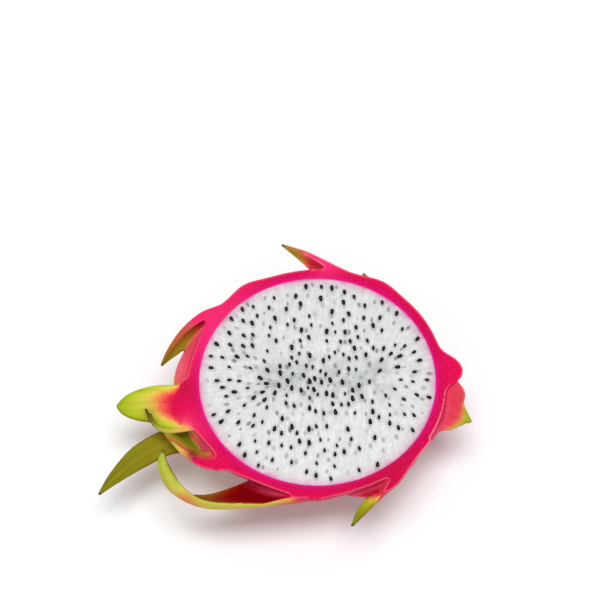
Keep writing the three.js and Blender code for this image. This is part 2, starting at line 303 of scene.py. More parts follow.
# %% The scales at the bottom and beside the stem
CUT_SCALES |= {
    "bottom_strap": dict(
        line=[
            (5, -42.7, -12, 12), (-8, -45.5, -11, 12), (-20, -46.6, -9.5, 10.5), (-33, -49.2, -8.5, 8.2),
            (-44.2, -50.6, -7.2, 6.9), (-52.9, -49, -6, 6.1), (-59.5, -44.8, -4.8, 5),
            (-63.1, -39.4, -3.6, 4.4), (-64.7, -34.2, -2.4, 3.5), (-63.8, -28.8, -1.4, 0.5),
        ],
        thick=7, cup=0.8,
        faces=[
            (0, -0.9, -0.45), (0, -0.65, -0.76), (-0.1, -0.95, -0.3), (-0.7, -0.35, 0.62), (-0.75, 0, 0.66),
        ],
        green=(0.42, 0.95), outside=(0.0, 1.0), brown=(0.1, 0.65), deep=(1, 1, 0.2, 0),
    ),
    "bottom_right": dict(
        line=[
            (43.3, -22.1, -3, 11), (36, -31.9, -3, 9.5), (31.2, -39.6, -4.3, 9), (26, -44.7, -7.2, 6.5),
            (22.3, -49.7, -8.5, 3.8), (18.2, -54.3, -9, 2.8), (14, -59.6, -9, 0.5),
        ],
        thick=8.2, cup=0.7, faces=[(0.5, -0.7, -0.5), (0.55, -0.5, -0.67), (0.6, -0.5, -0.62)],
        green=(0.58, 0.84), brown=(0.55, 0.55), deep=(1.4, -1.0, 1.1, 0), warm=0.5,
    ),
    "stem_side": dict(
        line=[
            (45, -6.1, -8, 14), (51.1, -9.2, -7, 14), (55.4, -11.5, -6.4, 11.9), (58.1, -13.3, -6.2, 7.5),
            (60.9, -14.5, -6.3, 3.8), (62.9, -15.3, -6.6, 1.7), (64.5, -16.2, -7, 0.5),
        ],
        thick=5, cup=0.5, faces=[(0.35, 0, -0.93), (0.35, 0.1, -0.93)],
        green=(0.53, 1.28), margins=0.24, brown=(1.1, 1.1), deep=(0.3, 0.45, 0, 0), warm=0.8,
    ),
    "stem_fold": dict(
        line=[
            (49.5, -1, -2.4, 2), (51.8, -8, -2.6, 3), (50.8, -15, -2.8, 3.6), (47.6, -22, -3.2, 3),
            (45, -26.5, -4, 1),
        ],
        thick=3.4, cup=0.3, faces=[(0.7, 0.1, 0.7), (0.72, -0.25, 0.65), (0.65, -0.45, 0.62)],
        green=(1.5, 3), brown=(1.1, 1.1), warm=0.5,
    ),
    "bottom_web": dict(
        line=[(30, -38.3, -6.5, 5), (21.2, -45, -7, 3.4), (12.5, -47, -7, 0.5)],
        thick=3, cup=0.4, faces=[(0.1, -0.5, -0.86), (0.1, -0.5, -0.86)],
        green=(1.5, 3), brown=(1.1, 1.1), deep=(0.8, 0.8, 0, 0),
    ),
}
print(len(CUT_SCALES), "scales round the cut")

# %% [markdown]
# ## The scales on the back
# These are all alike: broad at the root and pressed to the skin, with the tip a little off it. So they follow
# a rule, and only their places and sizes differ.

# %% The scales on the back
BACK_THICK = 5.4
BACK_CUP = 0.42
BACK_SUNK = 2.6
BACK_TAIL = 12


def back_scale(x, turn, length, lift, width):
    # Each station's place along the axis, its height over the skin and its share of the width.
    stations = [
        (x + BACK_TAIL, -BACK_SUNK, 0.9),
        (x + BACK_TAIL / 3, -BACK_SUNK / 3, 1),
        (x - length / 4, lift / 7, 0.82),
        (x - length * 5 / 8, lift / 2, 0.5),
        (x - length, lift, 0.04),
    ]
    line = []
    for place, height, share in stations:
        skin = on_skin(place, turn)
        skin = skin + outward(skin) * (height + swell(skin))
        line.append((*skin, share * width))
    faces = [outward(on_skin(place, turn)) for place in (x + BACK_TAIL, x - length)]
    return dict(line=line, thick=BACK_THICK, cup=BACK_CUP, faces=faces, green=(0.42, 1.0))


SCALES = CUT_SCALES | {name: back_scale(*sizes) for name, sizes in BACK_SCALES.items()}
print(len(SCALES), "scales in all")

# %% [markdown]
# ## The surface of a scale
# One function gives the middle surface of a scale, from u = 0 at the root to 1 at the tip and v = -1 to 1
# from margin to margin. The line is a smooth curve through the points. Across it, the scale is an arc, and it
# is thick along its middle and thin at its margins, as leaves are.

# %% A scale's middle surface and thickness
TIP_THICKNESS = 1.2
MARGIN_THICKNESS = 0.9
THINNING = 1.3


def smooth_line(points, u):
    """A smooth curve through evenly spaced points, at each share u of its course."""
    points = np.asarray(points, dtype=float)
    ends = np.vstack([2 * points[0] - points[1], points, 2 * points[-1] - points[-2]])
    place = np.clip(u, 0, 1) * (len(points) - 1)
    before = np.minimum(place.astype(int), len(points) - 2)
    t = (place - before)[:, None]
    a, b, c, d = (ends[before + k] for k in range(4))
    return b + 0.5 * t * ((c - a) + t * ((2 * a - 5 * b + 4 * c - d) + t * (3 * (b - c) + d - a)))


def straight_line(points, u):
    """A broken line through evenly spaced points."""
    steps = np.linspace(0, 1, len(points))
    return np.stack([np.interp(u, steps, axis) for axis in np.asarray(points, dtype=float).T], axis=-1)


def unit(vectors):
    return vectors / np.linalg.norm(vectors, axis=-1, keepdims=True)


def scale_surface(scale, u, v):
    """The middle surface at (u, v), the direction of its outer side and the thickness, in millimetres."""
    small = 1e-4
    line = smooth_line(scale["line"], u)
    along = unit(smooth_line(scale["line"], u + small)[:, :3] - smooth_line(scale["line"], u - small)[:, :3])
    outer = straight_line(scale["faces"], u)
    outer = unit(outer - along * np.sum(outer * along, axis=-1, keepdims=True))
    side = np.cross(along, outer)
    half, cup = line[:, 3:], scale["cup"]
    v = v[:, None]
    middle = line[:, :3] + side * half * np.sin(cup * v) / cup - outer * half * (1 - np.cos(cup * v)) / cup
    root_to_tip = TIP_THICKNESS + (scale["thick"] - TIP_THICKNESS) * (1 - u[:, None]) ** THINNING
    through = MARGIN_THICKNESS + (root_to_tip - MARGIN_THICKNESS) * (1 - v * v)
    return middle, outer, through[:, 0]


# %% [markdown]
# ## Making the scales
# A flat grid is laid along the surface, vertex by vertex, and Solidify makes it a closed leaf. Its thickness
# comes from a vertex group, so it is thick at the root and thin at the margins. The scales are left
# overlapping the egg: the next step melts them together.

# %% Modifiers, and weights for them
def modify(piece, kind, **settings):
    """Adds a modifier with its settings and applies it."""
    only(piece)
    modifier = piece.modifiers.new(kind.lower(), kind)
    for setting, value in settings.items():
        setattr(modifier, setting, value)
    bpy.ops.object.modifier_apply(modifier=modifier.name)


WEIGHT_STEPS = 50


def set_group(piece, name, weights):
    """Stores one weight for each vertex in a vertex group. Equal weights are written together."""
    group = piece.vertex_groups.new(name=name)
    steps = np.round(np.clip(weights, 0, 1) * WEIGHT_STEPS).astype(int)
    for step in np.unique(steps[steps > 0]):
        group.add(np.nonzero(steps == step)[0].tolist(), step / WEIGHT_STEPS, "REPLACE")


# %% Grids bent into scales
ALONG, ACROSS = 64, 20


def make_scale(name, scale):
    only(peel)
    bpy.ops.mesh.primitive_grid_add(x_subdivisions=ACROSS, y_subdivisions=ALONG, size=2)
    leaf = added(name)
    flat = vertices_of(leaf)
    v, u = flat[:, 0], (flat[:, 1] + 1) / 2
    middle, _, through = scale_surface(scale, u, v)
    set_vertices(leaf, placed(middle))
    set_group(leaf, "thickness", through / scale["thick"])
    modify(leaf, "SOLIDIFY", thickness=scale["thick"] * MM, offset=0, vertex_group="thickness", use_rim=True)
    return leaf


leaves = [make_scale(name, scale) for name, scale in SCALES.items()]
print(len(leaves), "closed leaves")

# %% [markdown]
# ## Growing them together
# On the fruit there is no joint between a scale and the skin: one flows into the other. Remesh in voxel mode
# melts everything into one closed skin of small even faces. Smoothing then rounds the inner corners, most
# near the skin and hardly at all on the free parts, whose margins have to stay thin.

# %% Melt the scales into the egg
FIRST_VOXEL = 0.42
SEAM_REACH = 2.4

only(peel)
for leaf in leaves:
    leaf.select_set(True)
bpy.ops.object.join()
peel.vertex_groups.clear()
modify(peel, "REMESH", mode="VOXEL", voxel_size=FIRST_VOXEL * MM, adaptivity=0)


def height_above_skin(points):
    """About how far each point is above the swollen egg."""
    share = np.sqrt(np.sum((points / SKIN) ** 2, axis=-1))
    slope = np.linalg.norm(points / SKIN**2, axis=-1) / share
    return (share - 1) / slope - swell(points)


def from_cut_face(piece):
    """The piece's vertices in millimetres from the middle of the cut face."""
    return vertices_of(piece) / MM - (0, 0, CUT_HEIGHT)


height = height_above_skin(from_cut_face(peel))
set_group(peel, "seam", np.exp(-((height / SEAM_REACH) ** 2)))
modify(peel, "SMOOTH", factor=0.5, iterations=24, vertex_group="seam")
modify(peel, "SMOOTH", factor=0.4, iterations=2)
print("The grown peel has", len(peel.data.vertices), "vertices")

# %% [markdown]
# ## The knife and the table
# Two blocks are taken away with Boolean: one leaves the level cut face, and the other the small flat spot
# that the half rests on. A second, finer remesh rounds the new edges by a fraction of a millimetre, as a
# knife leaves them in something soft. Then the room for the flesh is taken out.

# %% Cut with blocks
FINE_VOXEL = 0.36
BLOCK = 400


def remove(piece):
    bpy.data.objects.remove(piece, do_unlink=True)


def cut_away(piece, tool):
    modify(piece, "BOOLEAN", operation="DIFFERENCE", solver="MANIFOLD", object=tool)
    remove(tool)


def block(low, high):
    """A block that reaches far to all sides between two heights."""
    only(peel)
    bpy.ops.mesh.primitive_cube_add(size=1)
    cutter = added("block")
    points = vertices_of(cutter) * (BLOCK, BLOCK, high - low) + (0, 0, (low + high) / 2)
    set_vertices(cutter, placed(points))
    return cutter


cut_away(peel, block(0, BLOCK))
cut_away(peel, block(-BLOCK, -CUT_HEIGHT))
modify(peel, "REMESH", mode="VOXEL", voxel_size=FINE_VOXEL * MM, adaptivity=0)
modify(peel, "SMOOTH", factor=0.5, iterations=2)
print("After the cut the peel has", len(peel.data.vertices), "vertices")

# %% Take out the room for the flesh
ROOM_SPARE = 0.05  # so the flesh and the peel don't share a surface

room = ball("room", EGG_SEGMENTS, EGG_RINGS)
set_vertices(room, placed(vertices_of(room) * (FLESH + ROOM_SPARE)))
cut_away(peel, room)
print("The hollow peel has", len(peel.data.polygons), "faces")

# %% [markdown]
# ## Fewer faces
# A piece should stay under 200,000 triangles. Decimate collapses short edges where the surface is nearly
# flat, to bring the peel down towards 185,000 triangles. The cut face is kept as it is, by a vertex group,
# because its colours are stored on its vertices.

# %% Thin the mesh
MOST_TRIANGLES = 185000
KEPT_DEPTH = 0.3  # nothing above this depth is thinned

spots = from_cut_face(peel)
set_group(peel, "may_thin", (spots[:, 2] < -KEPT_DEPTH) * 1.0)
triangles = sum(len(face.vertices) - 2 for face in peel.data.polygons)
modify(peel, "DECIMATE", ratio=min(1, MOST_TRIANGLES / triangles), vertex_group="may_thin")
peel.vertex_groups.clear()
only(peel)
bpy.ops.object.shade_smooth_by_angle(angle=math.radians(50))
print("The finished peel has", len(peel.data.polygons), "faces, from", triangles)

# %% [markdown]
# ## What each spot of the peel is
# The colour of a dragon fruit's peel follows its growth: pink skin, then red, orange, yellow and green along
# each scale, with a dry brown tip. So every vertex is told where it lies. A tree of sample points on the
# scales finds the nearest one, and its u and v say how far along and how near the margin the vertex is.

# %% Look up the nearest scale
SAMPLES_ALONG, SAMPLES_ACROSS = 84, 21


def sample_scale(scale, side):
    """Points on one side of a scale, 1 the outer and -1 the inner.

    Each has its place, u, v, the millimetres along and across, and its colouring: ripeness here and outside,
    dryness, the painted shade inside and where cut, warmth, and the side.
    """
    u, v = np.meshgrid(np.linspace(0, 1, SAMPLES_ALONG), np.linspace(-1, 1, SAMPLES_ACROSS))
    u, v = u.ravel(), v.ravel()
    middle, outer, through = scale_surface(scale, u, v)
    line = smooth_line(scale["line"], u)
    length = sum(math.dist(a[:3], b[:3]) for a, b in zip(scale["line"], scale["line"][1:]))
    across = scale.get("lean", 0) * v + scale.get("margins", 0.3) * np.abs(v) ** 3
    (start, end), (outer_start, outer_end) = scale["green"], scale.get("outside", scale["green"])
    outer_ripe = (u - outer_start) / (outer_end - outer_start) + across
    ripe = outer_ripe if side > 0 else (u - start) / (end - start) + across
    dry_from = np.where(v < 0, *scale.get("brown", (0.5, 0.5)))
    painted_shades = scale.get("deep", (0, 0, 0, 0))
    deep, cut_deep = (np.clip(root + (tip - root) * u, 0, 1) for root, tip in (painted_shades[:2], painted_shades[2:]))
    even = [np.full(len(u), value) for value in (scale.get("warm", 0), side)]
    told = [u, v, u * length, v * line[:, 3], ripe, outer_ripe, u - dry_from, deep, cut_deep, *even]
    return np.column_stack([middle + outer * side * through[:, None] / 2, *told])


def tree_of(points):
    """A tree that finds the nearest of these points quickly."""
    tree = KDTree(len(points))
    for number, point in enumerate(points):
        tree.insert(point, number)
    tree.balance()
    return tree


samples = np.vstack([sample_scale(scale, side) for scale in SCALES.values() for side in (-1, 1)])
tree = tree_of(samples[:, :3])
spots = from_cut_face(peel)
found = [tree.find(spot)[1:] for spot in spots]
nearest = samples[[number for number, _ in found]]
gap = np.array([distance for _, distance in found])
print(len(samples), "samples for", len(spots), "vertices")

# %% Spots that differ from the rest
# Patches on a scale, such as pocket walls so thin that light shines through. Each has its middle and reach in
# millimetres, how much warmer and riper it is, and 1 if it shows on the cut too.
PATCHES = [
    ((-49, -23, -6), 8, 0, 0.24, 0), ((-46, 24, -4), 5, 0, 0.1, 0), ((-5, 53, -5), 6, 0, 0.12, 0),
    ((54.6, -6.5, -6), 4, -0.5, 0, 0), ((52, -13.5, -6), 4, -0.4, 0, 0),
    ((-54, -49.5, -3), 6, 0.2, -0.2, 1), ((-55, -19, -2), 4, 0.4, 0.1, 1),
    ((-49, -29.5, -3), 4.5, 0.1, -0.16, 0),
]
# Parts of the ring with painted light and with painted shade, and bruises and dry spots: middle, reach and
# share.
PLACES = {
    "ring_painted_light": [((-44, 26, 0), 20, 0.65), ((-51, -21, 0), 7, 0.4), ((4, 52, 0), 7, 0.9)],
    "deeper": [((30, -38, 0), 24, 0.7), ((-56, -3, 0), 5, 0.9), ((46, 22, 0), 10, 0.4)],
    "bruise": [((-52, -31, -1), 2.6, 1), ((-71, -12.5, -0.5), 3, 0.8), ((-69, -16.5, -0.8), 3, 0.6)],
}


def near(spots, middle, reach):
    """1 at the middle, falling off to about a third at the reach."""
    return np.exp(-((np.linalg.norm(spots - np.array(middle), axis=1) / reach) ** 2))


numbers = {
    name: sum(share * near(spots, middle, reach) for middle, reach, share in places)
    for name, places in PLACES.items()
}
print(len(PATCHES), "patches, and", ", ".join(numbers), "places")

# %% What the material needs of the scales
ROUNDED_EDGE = (-0.35, -0.12)  # below it is skin, above it the cut
GREEN_SLOWS, GREEN_PACE = 0.45, 0.4  # past this ripeness a scale turns greener at this pace


def smoothstep(low, high, value):
    """Rises softly from 0 to 1 between two values, or falls if the first is the larger."""
    share = np.clip((value - low) / (high - low), 0, 1)
    return share * share * (3 - 2 * share)


u, v, along, across, ripe, outer_ripe, dryness, deep, cut_deep, warm, side = nearest[:, 3:].T
on_cut = smoothstep(*ROUNDED_EDGE, spots[:, 2])
ripe = np.where(on_cut > 0.5, outer_ripe, ripe)
height = height_above_skin(spots)
on_scale = 1 - smoothstep(0.8, 3.0, gap)
free = smoothstep(-0.5, 4.0, height) * on_scale
inner = (side < 0) * free
ripe = ripe + np.where(side < 0, 0.15, -0.08) * free * smoothstep(-0.1, -0.8, spots[:, 2])
ripe = np.where(ripe > GREEN_SLOWS, GREEN_SLOWS + GREEN_PACE * (ripe - GREEN_SLOWS), np.maximum(ripe, 0))
ripe = ripe * on_scale * smoothstep(-0.5, 3, height)
warm = warm * on_scale * smoothstep(-0.5, 2, height)
for middle, reach, warmer, riper, shows in PATCHES:
    share = near(spots, middle, reach) * np.maximum(shows, smoothstep(-0.3, -1.5, spots[:, 2]))
    warm = np.clip(warm + warmer * share, 0, 1)
    ripe = np.maximum(ripe + riper * share, 0)
numbers |= {
    "ripe": ripe,
    "warm": warm,
    # painted shade: where the leaf lies in shade it is darker inside and on its cut
    "deep": np.where(on_cut > 0.5, cut_deep * smoothstep(0, 0.1, ripe), deep * inner),
    "tip": smoothstep(0.955, 1.0, u) * on_scale * smoothstep(0.05, 0.2, ripe),
    "margin": smoothstep(0.84, 0.97, np.abs(v)) * free * smoothstep(0, 0.15, dryness),
    "inner": inner,
    "along": along,
    "across": across,
    "free": free,
    # where the wax clouds and the pale dots show; the dots are partly painted sparkle
    "grain_and_sparkle": smoothstep(-1.5, -6, spots[:, 2]) * smoothstep(0.35, 0.05, ripe) * (1 - inner),
}
print("Ripeness from", round(float(ripe.min()), 2), "to", round(float(ripe.max()), 2))

# %% [markdown]
# The cut face is told apart by its height, and a second tree finds how far each of its vertices is from the
# skin, because the outermost half millimetre of the peel is drawn paler: partly the cut skin's own colour and
# partly a painted highlight where the edge catches the light.

# %% The cut face and its rim
WALL_LOW, WALL_HIGH = -0.7, -0.15  # the strip of skin just below the cut face
STEEP = 0.72  # the wall's normals point less upwards than this
OUTSIDE_FLESH = 1.012  # in half axes of the flesh
NEIGHBOURS = 4  # the distance is the mean of so many
FAR = 4.0  # stands for the distance of all that isn't in the cut face
FLAT = (1, 1, 0)
# Where the rim is strong, where it is missing, and where it runs on over a scale: middle and reach.
LOWER_RIGHT = ((48, -22, 0), 16)
STUMP, UPPER_LEFT_ROOT = ((57, 0, 0), 4), ((-46, 27, 0), 12)
TOP_SCALE = ((3, 54, 0), 7)


def set_attributes(piece, numbers):
    """Stores numbers by name, one of each for each vertex, for a material to read."""
    for name, values in numbers.items():
        attribute = piece.data.attributes.new(name, "FLOAT", "POINT")
        attribute.data.foreach_set("value", np.asarray(values, dtype=np.float32))


heights = spots[:, 2]
to_middle = np.linalg.norm(spots / FLESH, axis=1)
normals = np.empty(len(spots) * 3)
peel.data.vertices.foreach_get("normal", normals)
steep = normals.reshape(-1, 3)[:, 2] < STEEP
wall = spots[(heights < WALL_HIGH) & (heights > WALL_LOW) & (to_middle > OUTSIDE_FLESH) & steep]
wall_tree = tree_of(wall * FLAT)
edge = np.full(len(spots), FAR)
for number in np.nonzero(on_cut > 0.5)[0]:
    closest = wall_tree.find_n(spots[number] * FLAT, NEIGHBOURS)
    edge[number] = sum(distance for *_, distance in closest) / NEIGHBOURS
# The pale rim is partly the cut skin's own colour and partly a painted highlight on the edge.
rim = smoothstep(0.85, 0.4, edge) * (0.35 + 0.55 * near(spots, *LOWER_RIGHT)) * (1 - near(spots, *STUMP))
rim *= smoothstep(0.2, 0, ripe) * (1 - 0.9 * near(spots, *UPPER_LEFT_ROOT)) + 0.4 * near(spots, *TOP_SCALE)
numbers |= {"cut": on_cut, "rim": rim}
set_attributes(peel, numbers)
print(int((on_cut > 0.5).sum()), "vertices in the cut face")

# %% [markdown]
# ## Colours and nodes
# Colours are written as they are seen, in sRGB hex, and turned to the linear values that the renderer adds
# up. One small function adds a node to the material in hand, with its inputs and settings, and gives back an
# output of it for the next node to read.

# %% Colours
def linear(colour):
    """An sRGB hex colour as linear red, green, blue and alpha."""
    channels = [int(colour[i : i + 2], 16) / 255 for i in (1, 3, 5)]
    return (*[c / 12.92 if c <= 0.04045 else ((c + 0.055) / 1.055) ** 2.4 for c in channels], 1)


print("Middle grey is", round(linear("#808080")[0], 3), "when linear")


# %% Nodes
def new_material(name):
    new = bpy.data.materials.new(name)
    new.use_nodes = True
    new.node_tree.nodes.clear()
    return new


def add(kind, inputs=(), output=0, stops=(), **settings):
    """Adds a node to the material in hand and returns one of its outputs.

    Inputs are numbers, colours or other nodes' outputs, in order or by name. Stops are a Color Ramp's places
    and colours, from left to right.
    """
    node = material.node_tree.nodes.new("ShaderNode" + kind)
    for setting, value in settings.items():
        setattr(node, setting, value)
    for number, (place, colour) in enumerate(stops):
        elements = node.color_ramp.elements
        element = elements[number] if number < 2 else elements.new(place)
        element.position, element.color = place, linear(colour)
    for name, value in inputs.items() if isinstance(inputs, dict) else enumerate(inputs):
        if isinstance(value, bpy.types.NodeSocket):
            material.node_tree.links.new(value, node.inputs[name])
        else:
            node.inputs[name].default_value = value
    return node.outputs[output] if node.outputs else node


# A Mix node set to colours has its share at input 0, the colours at inputs 6 and 7 and the result at output 2.
COLOUR = {"output": 2, "data_type": "RGBA"}


def count_nodes(latest):
    print(len(material.node_tree.nodes), "nodes with", latest)


def give_material(piece):
    """Gives this piece the material in hand, and no other."""
    piece.data.materials.clear()
    piece.data.materials.append(material)
    print(piece.name, "has", material.name, "with", len(material.node_tree.nodes), "nodes")


# %% [markdown]
# ## The peel's finish
# Dragon fruit peel is waxy: a soft shine over a strong pink, with a fine pale grain where the wax and the
# pores catch the light. The cut face is wet and has no wax, so it is deeper in colour. Everything the finish
# needs to know about a spot was stored above, and patterns are drawn on the place in the object, in metres.

# %% What the peel's finish reads
material = new_material("dragon_fruit_peel_waxy")
spot = add("TexCoord", output="Object")
stored = {name: add("Attribute", output="Fac", attribute_name=name) for name in numbers}
print("The peel's finish reads", ", ".join(stored))

# %% [markdown]
# Along a scale run fine veins, and broader soft folds whose creases are painted shade. Both are drawn with
# noise on the millimetres along and across the scale, stretched along it, the veins six times and the folds
# sixteen. The veins also shift where one colour gives way to the next, so no band has a straight end.

# %% Veins, and where the colours change
VEINS_PER_MM, VEIN_PACE = 1.1, 0.16
FOLDS_PER_MM, FOLD_PACE = 0.4, 0.06

on_veins, on_folds = (
    add("CombineXYZ", (add("Math", (stored["along"], pace), operation="MULTIPLY"), stored["across"]))
    for pace in (VEIN_PACE, FOLD_PACE)
)
veins = add("TexNoise", {"Vector": on_veins, "Scale": VEINS_PER_MM, "Detail": 4, "Roughness": 0.6})
folds = add("TexNoise", {"Vector": on_folds, "Scale": FOLDS_PER_MM, "Detail": 2})
cloud = add("TexNoise", {"Vector": spot, "Scale": 1 / (9 * MM), "Detail": 4})
vein_shift = add("MapRange", (veins, 0.25, 0.75, -0.018, 0.018))
cloud_shift = add("MapRange", (cloud, 0.3, 0.7, -0.03, 0.03))
shift = add("Math", (vein_shift, cloud_shift), operation="ADD")
shift = add("Math", (shift, add("MapRange", (stored["ripe"], 0.02, 0.15, 0, 1))), operation="MULTIPLY")
ripeness = add("Math", (stored["ripe"], shift), operation="ADD")
count_nodes("the veins")

# %% [markdown]
# A scale turns colour from its root to its tip. Outside, the pink of the skin gives way to yellow and green
# within a few millimetres. Inside, where no wax dulls it, it goes through clear red and orange.

# %% The colours from root to tip
outside = add("ValToRGB", (ripeness,), stops=[
    (0.0, "#dc1f52"), (0.12, "#df3d55"), (0.24, "#e0694f"), (0.34, "#dda052"),
    (0.45, "#d3c457"), (0.6, "#b3bf48"), (0.78, "#93ab38"), (1.0, "#66842a"),
])
inside = add("ValToRGB", (ripeness,), stops=[
    (0.0, "#d8064c"), (0.07, "#e0254a"), (0.13, "#ec4c50"), (0.19, "#ef7a56"), (0.25, "#eda456"),
    (0.34, "#e2c856"), (0.42, "#d3cf4c"), (0.52, "#b7c434"), (0.65, "#9cb01a"), (1.0, "#6c8c18"),
])
leaf = add("Mix", {0: stored["inner"], 6: outside, 7: inside}, **COLOUR)
count_nodes("the colours from root to tip")

# %% Painted shade, warmth, a pale midrib, painted shade in the folds and pale veins
red_part = add("MapRange", (stored["ripe"], 0.0, 0.4, 0.7, 0))
warm_share = add("Math", (stored["warm"], red_part), operation="MULTIPLY")
from_midrib = add("Math", (stored["across"],), operation="ABSOLUTE")
midrib = add("MapRange", (from_midrib, 0.15, 0.55, 1, 0))
midrib_green = add("MapRange", (stored["ripe"], 0.25, 0.5, 0, 0.08))
midrib_share = add("Math", (midrib, midrib_green), operation="MULTIPLY")
# painted shade in the creases between the folds
fold_painted_shade = add("MapRange", (folds, 0.42, 0.68, 0, 0.32))
fold_shade_share = add("Math", (stored["free"], fold_painted_shade), operation="MULTIPLY")
vein_share = add("MapRange", (veins, 0.42, 0.72, 0, 0.4))
for share, colour, blend in (
    # painted shade: leaves and pockets that lie in shade are darkened towards olive
    (stored["deep"], "#9a8a38", "MULTIPLY"),
    (warm_share, "#ff6074", "MIX"),
    (midrib_share, "#d5cf7c", "MIX"),
    (fold_shade_share, "#c48c84", "MULTIPLY"),
    (vein_share, "#e8d78a", "SOFT_LIGHT"),
):
    leaf = add("Mix", {0: share, 6: leaf, 7: linear(colour)}, **COLOUR, blend_type=blend)
count_nodes("the folds and veins")

# %% [markdown]
# The wax of the skin is thicker in some places than in others, which makes soft paler clouds. It holds
# countless tiny pale dots about half a millimetre apart, partly the skin's own speckle and partly painted
# sparkle where the wax catches the light. They fade on the green parts and are missing inside the scales.

# %% Clouds and pale dots in the wax
wax = add("TexNoise", {"Vector": spot, "Scale": 1 / (14 * MM), "Detail": 3})
wax_share = add("Math", (stored["grain_and_sparkle"], add("MapRange", (wax, 0.35, 0.7, 0, 0.55))), operation="MULTIPLY")
skin = add("Mix", {0: wax_share, 6: leaf, 7: linear("#f56f98")}, **COLOUR)
# Pale dots: partly the skin's own speckle, partly painted sparkle of the wax.
dots = add("TexNoise", {"Vector": spot, "Scale": 1 / (0.55 * MM), "Detail": 2})
dot_and_sparkle_share = add("Math", (stored["grain_and_sparkle"], add("MapRange", (dots, 0.48, 0.72, 0, 0.34))), operation="MULTIPLY")
skin = add("Mix", {0: dot_and_sparkle_share, 6: skin, 7: linear("#f9a3bd")}, **COLOUR)
count_nodes("the wax")

# %% [markdown]
# ## The colour of the cut
# Cut across, the peel is a deep even pink, made paler in some parts with painted light and darker in others
# with painted shade. Next to the flesh a thin purple line marks the dye, and at the skin there is a thin pale
# line, partly its own colour and partly a painted highlight. Where the knife met a scale, its inside is
# salmon, then yellow, like its outside, only paler, and darker with painted shade where it lies in shade.

# %% The ring's colours from flesh to skin
from_middle = add("VectorMath", (spot, placed((0, 0, 0))), operation="SUBTRACT")
oval = add("VectorMath", (from_middle, 1 / (FLESH * MM)), operation="MULTIPLY")
ring_place = add("VectorMath", (oval,), "Value", operation="LENGTH")
ring = add("ValToRGB", (add("MapRange", (ring_place, 1.0, 1.16, 0, 1)),), stops=[
    (0.0, "#ea1a98"), (0.07, "#de0876"), (0.2, "#ce0058"),
    (0.45, "#d4004c"), (0.8, "#dc0252"), (1.0, "#da024c"),
])
specks = add("TexNoise", {"Vector": spot, "Scale": 1 / (0.7 * MM), "Detail": 2})
speck_share = add("MapRange", (specks, 0.5, 0.72, 0, 0.3))
# Painted shade and painted light on parts of the ring, then pale specks of pulp.
for share, colour in ((stored["deeper"], "#bc0038"), (stored["ring_painted_light"], "#f63078"), (speck_share, "#f8427e")):
    ring = add("Mix", {0: share, 6: ring, 7: linear(colour)}, **COLOUR)
count_nodes("the ring")

# %% Cut scales, the pale rim with its painted highlight, and the cut over the skin
strip = add("ValToRGB", (ripeness,), stops=[
    (0.0, "#e81f5a"), (0.1, "#f4626e"), (0.22, "#f27860"),
    (0.36, "#ee9458"), (0.55, "#dcae58"), (0.8, "#a8ac48"),
])
# painted shade: the cut strips of scales that lie in shade are darkened towards olive
shade_olive = linear("#9a8a38")
strip = add("Mix", {0: stored["deep"], 6: strip, 7: shade_olive}, **COLOUR, blend_type="MULTIPLY")
strip_share = add("MapRange", (stored["ripe"], 0.0, 0.1, 0, 1))
cut_colour = add("Mix", {0: strip_share, 6: ring, 7: strip}, **COLOUR)
# The pale rim: partly the skin's own colour, partly a painted highlight where the edge catches the light.
cut_colour = add("Mix", {0: stored["rim"], 6: cut_colour, 7: linear("#ff8ca4")}, **COLOUR)
coloured = add("Mix", {0: stored["cut"], 6: skin, 7: cut_colour}, **COLOUR)
count_nodes("the cut")

# %% [markdown]
# The oldest parts have dried to brown: the thin margins of some scales, their tips, and a few bruised spots.

# %% Brown margins, tips and bruises
for name, most, brown in (("margin", 0.7, "#7d3a1c"), ("tip", 1, "#4a2a1a"), ("bruise", 0.85, "#5c2418")):
    share = add("Math", (stored[name], most), operation="MULTIPLY")
    coloured = add("Mix", {0: share, 6: coloured, 7: linear(brown)}, **COLOUR)
count_nodes("the dry parts")

# %% The peel's shader
relief = add("Math", (veins, stored["free"], dots), operation="MULTIPLY_ADD")
pores = add("Bump", {"Strength": 0.3, "Distance": 0.15 * MM, "Height": relief})
shader = add("BsdfPrincipled", {
    "Base Color": coloured,
    "Roughness": add("MapRange", (stored["cut"], 0, 1, 0.38, 0.6)),
    "Normal": pores,
    "IOR": 1.4,
    "Specular IOR Level": 0.05,
    "Subsurface Weight": 0.1,
    "Subsurface Radius": (2.0, 0.5, 0.4),
    "Subsurface Scale": MM,
})
add("OutputMaterial", (shader,))
give_material(peel)

# %% [markdown]
# ## Seeds and where they lie
# The seeds follow the same rule as in the CAD model: spread by chance but never touching, closer together in
# the middle, and each pointing away from the core. A second set lies deeper and shows only as faint grey
# shadows.

# %% The rule for seeds
SEED_COUNT, SEED_DRAW = 215, 20417
DEEP_COUNT, DEEP_DRAW = 150, 5081
SEED_LENGTH, SEED_WIDTH = 2.6, 1.65
SEED_SIZES = (0.65, 1.12)
SEED_SPACING = (2.2, 4.0)
SEED_THINNING = 0.4
SEED_BORDER = 2.2
SEED_SWAY = 0.25  # radians off the line from the core
CORE_FROM, CORE_TO = np.array([-17.0, -1.0]), np.array([24.0, 3.0])


def drawer(state):
    """Random numbers from 0 to 1, the same on every run."""
    factor, step, limit = 1664525, 1013904223, 2**32
    while True:
        state = (state * factor + step) % limit
        yield state / limit


def nearest_core(at):
    course = CORE_TO - CORE_FROM
    share = np.clip(((at - CORE_FROM) @ course) / (course @ course), 0, 1)
    return CORE_FROM + np.multiply.outer(share, course)


